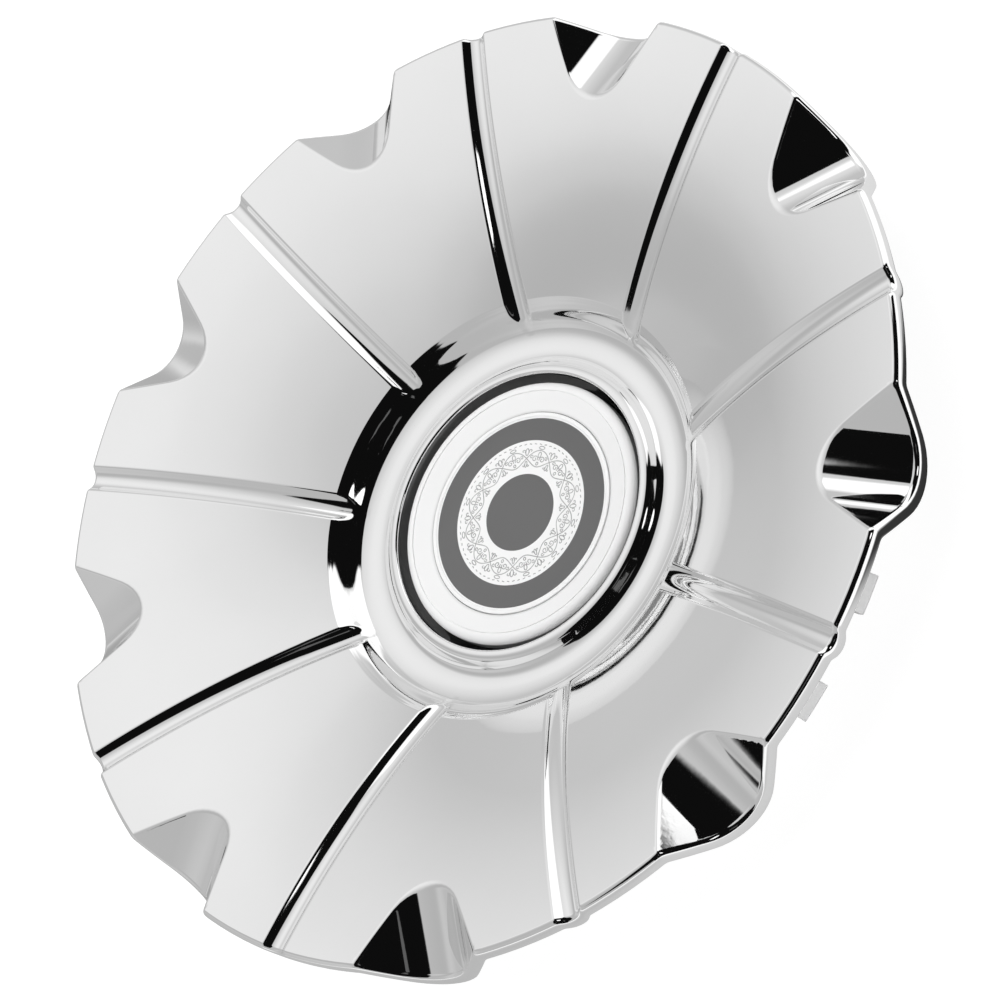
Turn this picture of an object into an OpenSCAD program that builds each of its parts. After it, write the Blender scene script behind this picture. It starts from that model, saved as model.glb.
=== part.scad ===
// Wheel centre cap: a chrome-plated dished moulding with nine sectors, nine radial
// grooves and nine rim scoops, closed at the hub by a satin insert and a round badge.
// Units are millimetres. +Z is the wheel axis, pointing to the front of the cap.
// The cap rests on the flat back of its hub, and the origin is the centre of that back.

/* [Cap] */

// Outside diameter of the cap
cap_d = 250; // [244:1:256]
// Height from the hub's back to the front edge of the rim
cap_h = 39; // [38.5:0.5:40.5]
// Wall of the moulding
wall_t = 2.8; // [2.4:0.1:3]
// Number of sectors, grooves and scoops
sector_n = 9; // [6:3:9]

/* [Dished face] */

// Radius of the arc that the face follows from rim to hub
face_arc_r = 222; // [216:1:240]
// Radius where the sectors end and drop to the channel
sector_end_r = 55.9; // [54.5:0.1:57]
// Height of the sectors' ends above the hub's back
sector_end_h = 12.2; // [11.6:0.1:12.8]

/* [Rim edge] */

// Height of the edge strip behind the face
edge_h = 4.1; // [3.8:0.1:4.6]
// Thickness of the edge strip
edge_t = 2.4; // [2:0.1:2.6]

/* [Grooves] */

// Width of a groove where it opens on the face
groove_w = 6.9; // [6:0.1:7.5]
// Depth of a groove below the face
groove_depth = 2; // [1.7:0.05:2.2]
// Slope of the groove's side walls, in degrees
groove_slope = 47; // [46:1:50]

/* [Scoops] */

// Length of a scoop, from its start in the face to the rim
scoop_len = 21.2; // [19:0.2:23]
// Depth of a scoop at the rim, below the rim's front edge
scoop_depth = 14.1; // [12.5:0.1:14.5]
// Radius of a scoop's floor, across its run
scoop_floor_r = 12.9; // [12:0.1:14]
// Slope of a scoop's side walls, across its run, in degrees
scoop_slope = 45; // [43:1:46]

/* [Hub] */

// Radius of the recess that holds the insert
recess_r = 37.5; // [36.8:0.1:37.8]
// Width of the flat top of the ring around the recess, between its rounded edges
crest_w = 0.3; // [0.2:0.1:0.6]
// Height of the ring's top above the hub's back
crest_h = 8.5; // [8.2:0.1:8.6]
// Radius of the ring's outer edge
crest_edge_r = 1.9; // [1.7:0.1:2]
// Slope of the ring's outer flank, in degrees
flank_slope = 45; // [43:1:46]
// Length of the flank's straight part
flank_len = 2.8; // [2.6:0.1:3]
// Radius where the flank runs out into the channel
flank_foot_r = 3.7; // [3.5:0.1:4]
// Radius of the channel's outer edge, at the foot of the sectors
channel_r = 51.3; // [51:0.1:51.6]
// Slope of the channel at that edge, in degrees
channel_slope = 30; // [28:1:32]

/* [Insert and badge] */

// Gap around the insert inside the recess
insert_gap = 1.9; // [1.4:0.1:2.2]
// Height of the insert's rim above the hub's back
insert_h = 7.5; // [7.3:0.1:7.8]
// Radius of the insert's outer edge
insert_edge_r = 2; // [1.5:0.1:2.2]
// Drop of the insert's satin ring from its rim to the badge
insert_dish = 1.6; // [1.2:0.1:1.7]
// Diameter of the insert's locating spigot
spigot_d = 40; // [30:1:44]
// Depth of the spigot's seat in the hub's floor
spigot_h = 1.2; // [0.8:0.1:1.4]
// Diameter of the badge
badge_d = 54.8; // [52:0.2:56]
// Thickness of the badge at its lip
badge_t = 1.6; // [1.4:0.1:1.8]
// Width of the badge's lip
badge_lip_w = 1.2; // [0.8:0.1:1.4]
// Depth of the badge's field below its lip
badge_field_depth = 0.3; // [0.2:0.05:0.4]
// Clearance around the badge and the spigot
seat_gap = 0.15; // [0.1:0.05:0.25]

/* [Snap tabs] */

// Number of tab pairs
tab_pairs = 3; // [3:1:3]
// Angle from a groove's middle to the middle of a tab, in degrees
tab_angle = 6.1; // [5.5:0.1:6.5]
// Width of a tab along the rim
tab_w = 9.4; // [8:0.2:10]
// Thickness of a tab
tab_t = 2; // [1.8:0.1:2.2]
// Reach of a tab behind the rim's front edge
tab_reach = 9; // [8:0.1:9.5]
// Set-back of a tab from the cap's outside
tab_inset = 1.1; // [1:0.1:1.3]
// Outward reach of a tab's hook
tab_hook = 0.9; // [0.7:0.1:1]

/* [Hidden] */

cap_r = cap_d / 2;
recess_floor = wall_t;
// Facets of the circles that stay smooth, and steps of the short arcs in polygons
$fn = 144;
arc_n = 4;
face_n = 8;
groove_n = 3;
// Overlap where pieces of one moulding run into each other, and reach of the cutters
lap = 0.4;
over = 6;
joint = 0.1;

// The face arc, from the sectors' ends to the rim: its centre, and its height at a radius
sector_end = [sector_end_r, sector_end_h];
face_chord = [cap_r, cap_h] - sector_end;
face_normal = [face_chord[1], -face_chord[0]] / norm(face_chord);
face_c = sector_end + face_chord / 2
    + sqrt(pow(face_arc_r, 2) - pow(norm(face_chord) / 2, 2)) * face_normal;
function face_z(r) = face_c[1] + sqrt(pow(face_arc_r, 2) - pow(face_c[0] - r, 2));

// The hub's section, from the recess to the foot of the sectors
crest_in_r = 0.8;
crest_c = [recess_r + crest_in_r + crest_w, crest_h - crest_edge_r];
flank_a = crest_c + crest_edge_r * [sin(flank_slope), cos(flank_slope)];
flank_b = flank_a + flank_len * [cos(flank_slope), -sin(flank_slope)];
foot_c = flank_b + flank_foot_r * [sin(flank_slope), cos(flank_slope)];
foot_slope = 5;
foot_end = foot_c - flank_foot_r * [sin(foot_slope), cos(foot_slope)];
channel_arc_r = (channel_r - foot_end[0]) / (sin(foot_slope) + sin(channel_slope));
channel_c = foot_end + channel_arc_r * [sin(foot_slope), cos(foot_slope)];
channel_end = channel_c + channel_arc_r * [sin(channel_slope), -cos(channel_slope)];
end_rise = sector_end - channel_end;
end_slope = atan2(end_rise[1], end_rise[0]);
end_normal = [-sin(end_slope), cos(end_slope)];

// The scoop's start, the slope of its floor line, and the floor line's lead-in before it
scoop_apex_r = cap_r - scoop_len;
scoop_drop = scoop_depth - (cap_h - face_z(scoop_apex_r));
scoop_run = atan2(scoop_drop, cap_r - scoop_apex_r);
scoop_lead = 9;

// The groove's floor radius, from its width, depth and wall slope
groove_floor_r = (groove_w / 2 - groove_depth / tan(groove_slope))
    / (sin(groove_slope) - (1 - cos(groove_slope)) / tan(groove_slope));

insert_r = recess_r - insert_gap;
insert_top_r = insert_r - insert_edge_r;
badge_r = badge_d / 2;
badge_seat = insert_h - insert_dish - badge_t + badge_field_depth;

// Points along an arc in the section plane
function arc(c, r, a0, a1, n) = [
    for (i = [0 : n])
        c + r * [cos(a0 + (a1 - a0) * i / n), sin(a0 + (a1 - a0) * i / n)]
];

// Points of the hub's surface from the ring's outer edge to the foot of the sectors,
// set back by g behind the front
function hub_flank(g) = concat(
    arc(foot_c, flank_foot_r + g, 270 - flank_slope, 270 - foot_slope, arc_n),
    arc(channel_c, channel_arc_r + g, 270 - foot_slope, 270 + channel_slope, 2 * arc_n)
);

// Where the sectors' end wall, set back by g, meets the face arc set back by g
function end_top(g) =
    let (
        p = channel_end - g * end_normal,
        d = [cos(end_slope), sin(end_slope)],
        b = d * (p - face_c),
        c = (p - face_c) * (p - face_c) - pow(face_arc_r - g, 2)
    )
    p + (sqrt(b * b - c) - b) * d;

// Points of the face, set back by g, from the sectors' ends out to radius r_max
function face_points(g, r_max) =
    let (start = end_top(g) - face_c)
    arc(face_c, face_arc_r - g, atan2(start[1], start[0]),
        acos((r_max - face_c[0]) / (face_arc_r - g)), face_n);

// Solid below the front surface
module front_section() {
    polygon(concat(
        [[0, 0], [0, recess_floor], [recess_r, recess_floor]],
        arc([recess_r + crest_in_r, crest_h - crest_in_r], crest_in_r, 180, 90, arc_n),
        arc(crest_c, crest_edge_r, 90, 90 - flank_slope, arc_n),
        hub_flank(0),
        face_points(0, cap_r),
        [[cap_r, 0]]
    ));
}

// Hollow behind the moulding, out to radius r_max
module back_section(r_max) {
    in_r = recess_r + wall_t;
    flank = flank_b - wall_t * [sin(flank_slope), cos(flank_slope)];
    polygon(concat(
        [[in_r, -over], [in_r, flank[1] + (flank[0] - in_r) * tan(flank_slope)]],
        hub_flank(wall_t),
        face_points(wall_t, r_max),
        [[r_max, -over]]
    ));
}

// One groove along +X, cut band by band along the face and grown by g
module groove(g) {
    path = face_points(0, cap_r);
    mid_z = groove_floor_r - groove_depth;
    r_floor = groove_floor_r + g;
    side = [r_floor * sin(groove_slope), mid_z - r_floor * cos(groove_slope)];
    rise = 3;
    for (i = [0 : face_n - 1]) {
        step = path[i + 1] - path[i];
        slope = atan2(step[1], step[0]);
        back = i == 0 ? (sector_end_r - channel_r + (g > 0 ? 0 : 2.5)) / cos(slope) : joint;
        front = i == face_n - 1 ? over : joint;
        translate([path[i][0], 0, path[i][1]])
            rotate([0, -slope, 0])
                translate([-back, 0, 0])
                    rotate([90, 0, 90])
                        linear_extrude(height = norm(step) + back + front)
                            polygon(concat(
                                arc([0, mid_z], r_floor, 270 - groove_slope,
                                    270 + groove_slope, groove_n),
                                [side + rise * [1, tan(groove_slope)]],
                                [[-side[0] - rise, side[1] + rise * tan(groove_slope)]]
                            ));
    }
}

// One scoop along +X, a round-floored trough that runs out and down, grown by g
module scoop(g) {
    r_floor = scoop_floor_r + g;
    wall_y = r_floor * sin(scoop_slope);
    wall_z = r_floor * (1 - cos(scoop_slope));
    rise = 24;
    run = (cap_r - scoop_apex_r + scoop_lead + over) / cos(scoop_run);
    translate([scoop_apex_r - scoop_lead, 0,
               face_z(scoop_apex_r) + scoop_lead * tan(scoop_run)])
        rotate([0, scoop_run, 0])
            translate([0, 0, -g])
                rotate([90, 0, 90])
                    linear_extrude(height = run) {
                        intersection() {
                            translate([0, r_floor])
                                circle(r = r_floor);
                            translate([-wall_y, -1])
                                square([2 * wall_y, wall_z + 1]);
                        }
                        polygon([
                            [-wall_y, wall_z - 0.01],
                            [wall_y, wall_z - 0.01],
                            [wall_y + rise / tan(scoop_slope), wall_z + rise],
                            [-wall_y - rise / tan(scoop_slope), wall_z + rise]
                        ]);
                    }
}

// All grooves and scoops, grown by g
module sector_cuts(g) {
    for (i = [0 : sector_n - 1]) {
        rotate([0, 0, -i * 360 / sector_n])
            groove(g);
        rotate([0, 0, -(i + 0.5) * 360 / sector_n])
            scoop(g);
    }
}

// Everything below the finished front surface
module front_solid() {
    difference() {
        rotate_extrude($fn = 360)
            front_section();
        sector_cuts(0);
        translate([0, 0, recess_floor - spigot_h])
            cylinder(r = spigot_d / 2 + seat_gap, h = spigot_h + over);
    }
}

// The hollow behind the moulding, less the backs of the grooves and scoops
module back_solid() {
    difference() {
        rotate_extrude($fn = 360)
            back_section(cap_r - edge_t);
        sector_cuts(wall_t);
    }
}

// The rim's outermost band, from radius r_in to r_out, with its grooves and scoops
module rim_band(r_in, r_out) {
    path = face_points(0, cap_r);
    step = path[face_n] - path[face_n - 1];
    slope = step[1] / step[0];
    difference() {
        rotate_extrude($fn = 360)
            polygon([
                [r_in, cap_h / 4],
                [r_in, path[face_n][1] + (r_in - cap_r) * slope],
                [r_out, path[face_n][1] + (r_out - cap_r) * slope],
                [r_out, cap_h / 4]
            ]);
        sector_cuts(0);
    }
}

// The edge strip: the face's own edge, carried straight back by edge_h
module edge_strip() {
    difference() {
        rim_band(cap_r - edge_t - lap, cap_r);
        translate([0, 0, -edge_h])
            rim_band(cap_r - edge_t - 2 * lap, cap_r + 1);
    }
}

// One snap tab, centred on +X
module snap_tab() {
    span = tab_w / cap_r * 180 / PI;
    tab_out = cap_r - tab_inset;
    rotate([0, 0, -span / 2])
        rotate_extrude(angle = span, $fn = 360)
            polygon([
                [tab_out - tab_t, cap_h - edge_h + 1.6],
                [tab_out, cap_h - edge_h + 1.6],
                [tab_out, cap_h - tab_reach + 2.2],
                [tab_out + tab_hook, cap_h - tab_reach + 1.6],
                [tab_out + tab_hook, cap_h - tab_reach + 0.8],
                [tab_out - 0.4, cap_h - tab_reach],
                [tab_out - tab_t, cap_h - tab_reach]
            ]);
}

module cap_shell() {
    color([0.82, 0.83, 0.84])
        union() {
            intersection() {
                difference() {
                    front_solid();
                    back_solid();
                }
                translate([0, 0, -over])
                    cylinder(r = cap_r - edge_t, h = cap_h + 2 * over, $fn = 360);
            }
            edge_strip();
            for (i = [0 : tab_pairs - 1])
                for (side = [-1, 1])
                    rotate([0, 0, -(1 + i * sector_n / tab_pairs) * 360 / sector_n
                                  + side * tab_angle])
                        snap_tab();
        }
}

module centre_insert() {
    color([0.93, 0.93, 0.93])
        union() {
            rotate_extrude($fn = 180)
                polygon(concat(
                    [[0, recess_floor], [0, badge_seat]],
                    [[badge_r + seat_gap, badge_seat]],
                    [[badge_r + seat_gap, insert_h - insert_dish]],
                    [[insert_top_r - 0.6, insert_h - 0.05], [insert_top_r, insert_h]],
                    arc([insert_top_r, insert_h - insert_edge_r], insert_edge_r,
                        90, 0, arc_n),
                    [[insert_r, recess_floor]]
                ));
            translate([0, 0, recess_floor - spigot_h])
                cylinder(r = spigot_d / 2, h = spigot_h + lap);
        }
}

module badge() {
    color([0.9, 0.9, 0.9])
        rotate_extrude($fn = 180)
            polygon([
                [0, badge_seat],
                [0, badge_seat + badge_t - badge_field_depth],
                [badge_r - badge_lip_w, badge_seat + badge_t - badge_field_depth],
                [badge_r - badge_lip_w + 0.2, badge_seat + badge_t - 0.05],
                [badge_r - badge_lip_w / 2, badge_seat + badge_t],
                [badge_r - 0.2, badge_seat + badge_t - 0.05],
                [badge_r, badge_seat + badge_t - 0.25],
                [badge_r, badge_seat]
            ]);
}

cap_shell();
centre_insert();
badge();
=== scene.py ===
"""Looks of the wheel centre cap.

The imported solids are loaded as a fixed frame. The chrome moulding, the satin insert and
the badge are then modelled again over their nodes, with true curves and rounded edges.
Lengths inside the classes are millimetres and meshes are scaled to metres at the end.
"""

import logging
import math
from collections.abc import Callable
from dataclasses import dataclass, field
from enum import Enum

import bmesh
import bpy
from mathutils import Matrix, Quaternion, Vector


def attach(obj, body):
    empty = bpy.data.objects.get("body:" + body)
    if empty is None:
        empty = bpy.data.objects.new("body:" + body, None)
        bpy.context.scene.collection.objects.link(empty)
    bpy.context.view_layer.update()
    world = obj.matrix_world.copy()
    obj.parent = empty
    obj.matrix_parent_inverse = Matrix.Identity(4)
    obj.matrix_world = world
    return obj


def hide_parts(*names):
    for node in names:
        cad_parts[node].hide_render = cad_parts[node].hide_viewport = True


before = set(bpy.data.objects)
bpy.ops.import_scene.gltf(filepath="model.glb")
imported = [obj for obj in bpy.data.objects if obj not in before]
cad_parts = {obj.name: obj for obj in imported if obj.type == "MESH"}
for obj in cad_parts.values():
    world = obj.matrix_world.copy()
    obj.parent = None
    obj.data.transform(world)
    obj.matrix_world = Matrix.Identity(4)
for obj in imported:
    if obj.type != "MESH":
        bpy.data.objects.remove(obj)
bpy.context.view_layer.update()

LOG = logging.getLogger("centre_cap")
MM = 0.001
MERGE_DIST = 0.002
SHARP_ANGLE = 35.0
SEARCH_STEPS = 48
TURN_STEPS = 256
Flat = tuple[float, float]
Point = tuple[float, float, float]
Ramp = tuple[float, float, float, float]
Input = bpy.types.NodeSocket | float


class Finish(Enum):
    """Material slots of the record."""

    CHROME = "chrome_shell"
    SATIN = "satin_insert"
    BADGE = "badge_face"


def smooth_min(a: float, b: float, width: float) -> float:
    """Return the lower of two heights, with the corner between them rounded.

    Args:
        a: First height.
        b: Second height.
        width: Difference of height over which the two blend.

    Returns:
        The blended height.
    """
    h = max(width - abs(a - b), 0.0) / width
    return min(a, b) - h * h * width / 4.0


def smooth_max(a: float, b: float, width: float) -> float:
    """Return the higher of two heights, with the corner between them rounded."""
    return -smooth_min(-a, -b, width)


def last_place(low: float, high: float, holds: Callable[[float], bool]) -> float:
    """Find where a test stops holding, by halving the span between two places.

    Args:
        low: Place where the test holds.
        high: Place where it doesn't.
        holds: The test.

    Returns:
        The last place where it holds.
    """
    for _ in range(SEARCH_STEPS):
        mid = (low + high) / 2.0
        if holds(mid):
            low = mid
        else:
            high = mid
    return low


def leaning(angle: float) -> Vector:
    """Return the unit vector that leans outwards from upright by an angle."""
    return Vector((math.sin(angle), math.cos(angle)))


def mapped_grid(bm: bmesh.types.BMesh, across: int, along: int,
                place: Callable[[int, int], Point]) -> None:
    """Add a grid and move each of its vertices to its place.

    Args:
        bm: Mesh that gets the grid.
        across: Number of faces across.
        along: Number of faces along.
        place: Gives the place of the vertex in a column and a row.
    """
    made = bmesh.ops.create_grid(bm, x_segments=across, y_segments=along, size=1.0)
    for vert in made["verts"]:
        column = round((vert.co.x + 1.0) / 2.0 * across)
        row = round((vert.co.y + 1.0) / 2.0 * along)
        vert.co = place(column, row)


def finish_mesh(bm: bmesh.types.BMesh, name: str) -> bpy.types.Object:
    """Turn a mesh in millimetres into an object in metres.

    Args:
        bm: Closed mesh, freed here.
        name: Name of the object.

    Returns:
        The object, linked to the scene.
    """
    bmesh.ops.remove_doubles(bm, verts=bm.verts[:], dist=MERGE_DIST)
    bmesh.ops.recalc_face_normals(bm, faces=bm.faces[:])
    bmesh.ops.scale(bm, vec=(MM, MM, MM), verts=bm.verts[:])
    mesh = bpy.data.meshes.new(name)
    bm.to_mesh(mesh)
    bm.free()
    mesh.shade_smooth()
    mesh.set_sharp_from_angle(angle=math.radians(SHARP_ANGLE))
    piece = bpy.data.objects.new(name, mesh)
    bpy.context.scene.collection.objects.link(piece)
    return piece


@dataclass(frozen=True)
class MouldingSizes:
    """Sizes of the chrome moulding.

    They are those of the part's source, apart from the crest, the flank and its foot, which
    follow the photo more closely here. The last eight are the scene's own: the sway of the
    end wall, the roundings between the surfaces and the radii that bound them.
    """

    cap_r: float = 125.0
    cap_h: float = 39.0
    wall: float = 2.8
    sectors: int = 9
    face_arc_r: float = 222.0
    sector_end: Flat = (55.9, 12.2)
    edge_h: float = 4.1
    edge_t: float = 2.4
    groove_w: float = 6.9
    groove_depth: float = 2.0
    groove_slope: float = math.radians(47.0)
    scoop_len: float = 21.2
    scoop_depth: float = 14.1
    scoop_floor_r: float = 12.9
    scoop_slope: float = math.radians(45.0)
    recess_r: float = 37.5
    crest_h: float = 8.5
    crest_in_r: float = 0.8
    crest_c: Flat = (38.6, 5.97)
    crest_edge_r: float = 2.53
    flank_len: float = 1.3
    flank_slope: float = math.radians(53.0)
    foot_r: float = 3.96
    foot_slope: float = math.radians(5.0)
    channel_r: float = 51.3
    channel_slope: float = math.radians(30.0)
    wall_sway: float = 0.2
    groove_blend: float = 0.5
    scoop_blend: float = 0.7
    channel_blend: float = 0.5
    end_blend: float = 1.1
    back_arc_in_r: float = 40.0
    hub_to_r: float = 75.0
    scoops_from_r: float = 85.0


class DishSurface:
    """Height of the moulding's face, or of its back, over the hub's back."""

    def __init__(self, sizes: MouldingSizes, setback: float = 0.0) -> None:
        """Work out the arcs of the section.

        Args:
            sizes: Sizes of the moulding.
            setback: Distance behind the face, 0 for the face itself.
        """
        self.s = sizes
        self.g = setback
        end = Vector(sizes.sector_end)
        chord = Vector((sizes.cap_r, sizes.cap_h)) - end
        across = Vector((chord.y, -chord.x)).normalized()
        reach = math.sqrt(sizes.face_arc_r**2 - (chord.length / 2.0) ** 2)
        self.face_c = end + chord / 2.0 + reach * across
        lean = leaning(sizes.flank_slope)
        self.flank_a = Vector(sizes.crest_c) + sizes.crest_edge_r * lean
        self.flank_b = self.flank_a + sizes.flank_len * Vector((lean.y, -lean.x))
        self.foot_c = self.flank_b + sizes.foot_r * lean
        turn = leaning(sizes.foot_slope)
        foot_end = self.foot_c - sizes.foot_r * turn
        self.channel_arc_r = (sizes.channel_r - foot_end.x) / (
            math.sin(sizes.foot_slope) + math.sin(sizes.channel_slope))
        self.channel_c = foot_end + self.channel_arc_r * turn
        steep = Vector((math.sin(sizes.channel_slope), -math.cos(sizes.channel_slope)))
        self.channel_end = self.channel_c + self.channel_arc_r * steep
        rise = end - self.channel_end
        self.end_slope = rise.y / rise.x
        self.groove_r = (sizes.groove_w / 2.0
                         - sizes.groove_depth / math.tan(sizes.groove_slope)) / (
            math.sin(sizes.groove_slope)
            - (1.0 - math.cos(sizes.groove_slope)) / math.tan(sizes.groove_slope))
        start = sizes.cap_r - sizes.scoop_len
        self.scoop_start = (start, self.arc_z(start, 0.0))
        self.scoop_run = math.atan2(
            sizes.scoop_depth - (sizes.cap_h - self.scoop_start[1]), sizes.scoop_len)

    def arc_z(self, radius: float, setback: float) -> float:
        """Return the face arc's height at a radius, set back behind the face."""
        reach = self.s.face_arc_r - setback
        return self.face_c.y + math.sqrt(reach**2 - (self.face_c.x - radius) ** 2)

    def face(self, radius: float, setback: float) -> float:
        """Return the face's height, carried straight on inside the sectors' ends.

        Args:
            radius: Distance from the wheel's axis.
            setback: Distance behind the face.

        Returns:
            The height without grooves and scoops.
        """
        edge = self.s.back_arc_in_r if setback else self.s.sector_end[0]
        if radius >= edge:
            return self.arc_z(radius, setback)
        lean = (self.face_c.x - edge) / (self.s.face_arc_r - setback)
        return self.arc_z(edge, setback) - (edge - radius) * lean / math.sqrt(1 - lean * lean)

    def groove(self, offset: float) -> float:
        """Return how far a groove lies below the face.

        Args:
            offset: Distance from the groove's middle.

        Returns:
            The depth, negative where the groove's side lies above the face.
        """
        offset = abs(offset)
        floor_r = self.groove_r + self.g
        side = floor_r * math.sin(self.s.groove_slope)
        mid = self.s.groove_depth - self.groove_r
        if offset < side:
            return mid + math.sqrt(floor_r**2 - offset**2)
        at_side = mid + floor_r * math.cos(self.s.groove_slope)
        return at_side - (offset - side) * math.tan(self.s.groove_slope)

    def scoop(self, along: float, across: float) -> float:
        """Return the height of a scoop's trough.

        Args:
            along: Distance from the wheel's axis along the scoop's middle.
            across: Distance from the scoop's middle.

        Returns:
            The height, carried on past the scoop's lip.
        """
        across = abs(across)
        floor_r = self.s.scoop_floor_r + self.g
        side = floor_r * math.sin(self.s.scoop_slope)
        if across < side:
            bowl = floor_r - math.sqrt(floor_r**2 - across**2)
        else:
            bowl = (floor_r * (1.0 - math.cos(self.s.scoop_slope))
                    + (across - side) * math.tan(self.s.scoop_slope))
        line = self.scoop_start[1] - (along - self.scoop_start[0]) * math.tan(self.scoop_run)
        return line + (bowl - self.g) / math.cos(self.scoop_run)

    def hub(self, radius: float) -> float:
        """Return the height of the channel and of the sectors' end wall.

        Args:
            radius: Distance from the wheel's axis.

        Returns:
            The height, with the corner between the two rounded.
        """
        arc = self.channel_arc_r + self.g
        inside = max(arc**2 - (radius - self.channel_c.x) ** 2, 0.0)
        channel = self.channel_c.y - math.sqrt(inside)
        out = radius - self.channel_end.x
        wall = (self.channel_end.y + out * self.end_slope
                - self.g * math.sqrt(1.0 + self.end_slope**2))
        share = out / (self.s.sector_end[0] - self.channel_end.x)
        if 0.0 < share < 1.0:
            wall -= self.s.wall_sway * math.sin(math.tau * share)
        return smooth_max(channel, wall, self.s.channel_blend)

    def height(self, x: float, y: float) -> float:
        """Return the surface's height at a place outside the hub's ring.

        Args:
            x: Distance along the first groove.
            y: Distance across it.

        Returns:
            The height in millimetres.
        """
        radius = math.hypot(x, y)
        pitch = math.tau / self.s.sectors
        angle = math.atan2(y, x)
        from_groove = (angle + pitch / 2.0) % pitch - pitch / 2.0
        lean = (self.face_c.x - max(radius, self.s.sector_end[0])) / self.s.face_arc_r
        drop = self.groove(radius * math.sin(from_groove)) / math.sqrt(1.0 - lean * lean)
        face = self.face(radius, self.g)
        if self.g:
            z = smooth_min(face, self.face(radius, 0.0) - drop, self.s.groove_blend)
        else:
            z = face - smooth_max(drop, 0.0, self.s.groove_blend)
        if radius > self.s.scoops_from_r:
            from_scoop = angle % pitch - pitch / 2.0
            trough = self.scoop(radius * math.cos(from_scoop), radius * math.sin(from_scoop))
            z = smooth_min(z, trough, self.s.scoop_blend)
        if radius < self.s.hub_to_r:
            z = smooth_min(z, self.hub(radius), self.s.end_blend)
        return z

    def normal(self, x: float, y: float) -> Vector:
        """Return the surface's outward normal.

        Args:
            x: Distance along the first groove.
            y: Distance across it.

        Returns:
            The unit normal, from the heights close by.
        """
        step = 0.02
        dx = self.height(x + step, y) - self.height(x - step, y)
        dy = self.height(x, y + step) - self.height(x, y - step)
        return Vector((-dx, -dy, 2.0 * step)).normalized()

    def lip(self, across: float, rim_r: float) -> float:
        """Return how far out a scoop's lip lies at a distance from the scoop's middle.

        Args:
            across: Distance from the scoop's middle.
            rim_r: Radius of the rim, where the search ends.

        Returns:
            Distance along the scoop's middle.
        """
        def inside(along: float) -> bool:
            """Return whether the trough still lies above the face."""
            return self.scoop(along, across) > self.face(math.hypot(along, across), self.g)

        start = 80.0
        return last_place(start, math.sqrt(max(rim_r**2 - across**2, 0.0)), inside)

    def corner(self, rim_r: float) -> float:
        """Return how far from a scoop's middle its lip meets the rim.

        Args:
            rim_r: Radius of the rim.

        Returns:
            Distance across the scoop.
        """
        def open_there(across: float) -> bool:
            """Return whether the trough lies below the face at the rim."""
            along = math.sqrt(rim_r**2 - across**2)
            return self.scoop(along, across) < self.face(rim_r, self.g)

        widest = 30.0
        return last_place(0.0, widest, open_there)


@dataclass
class Column:
    """One line of the mesh from the hub outwards, in half a sector.

    Its angle at the hub, its end at the rim or a scoop's lip, and its distance from the
    groove's middle or from the scoop's, where it has one.
    """

    hub_angle: float
    end: Flat
    offset: float | None = None
    across: float | None = None


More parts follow.
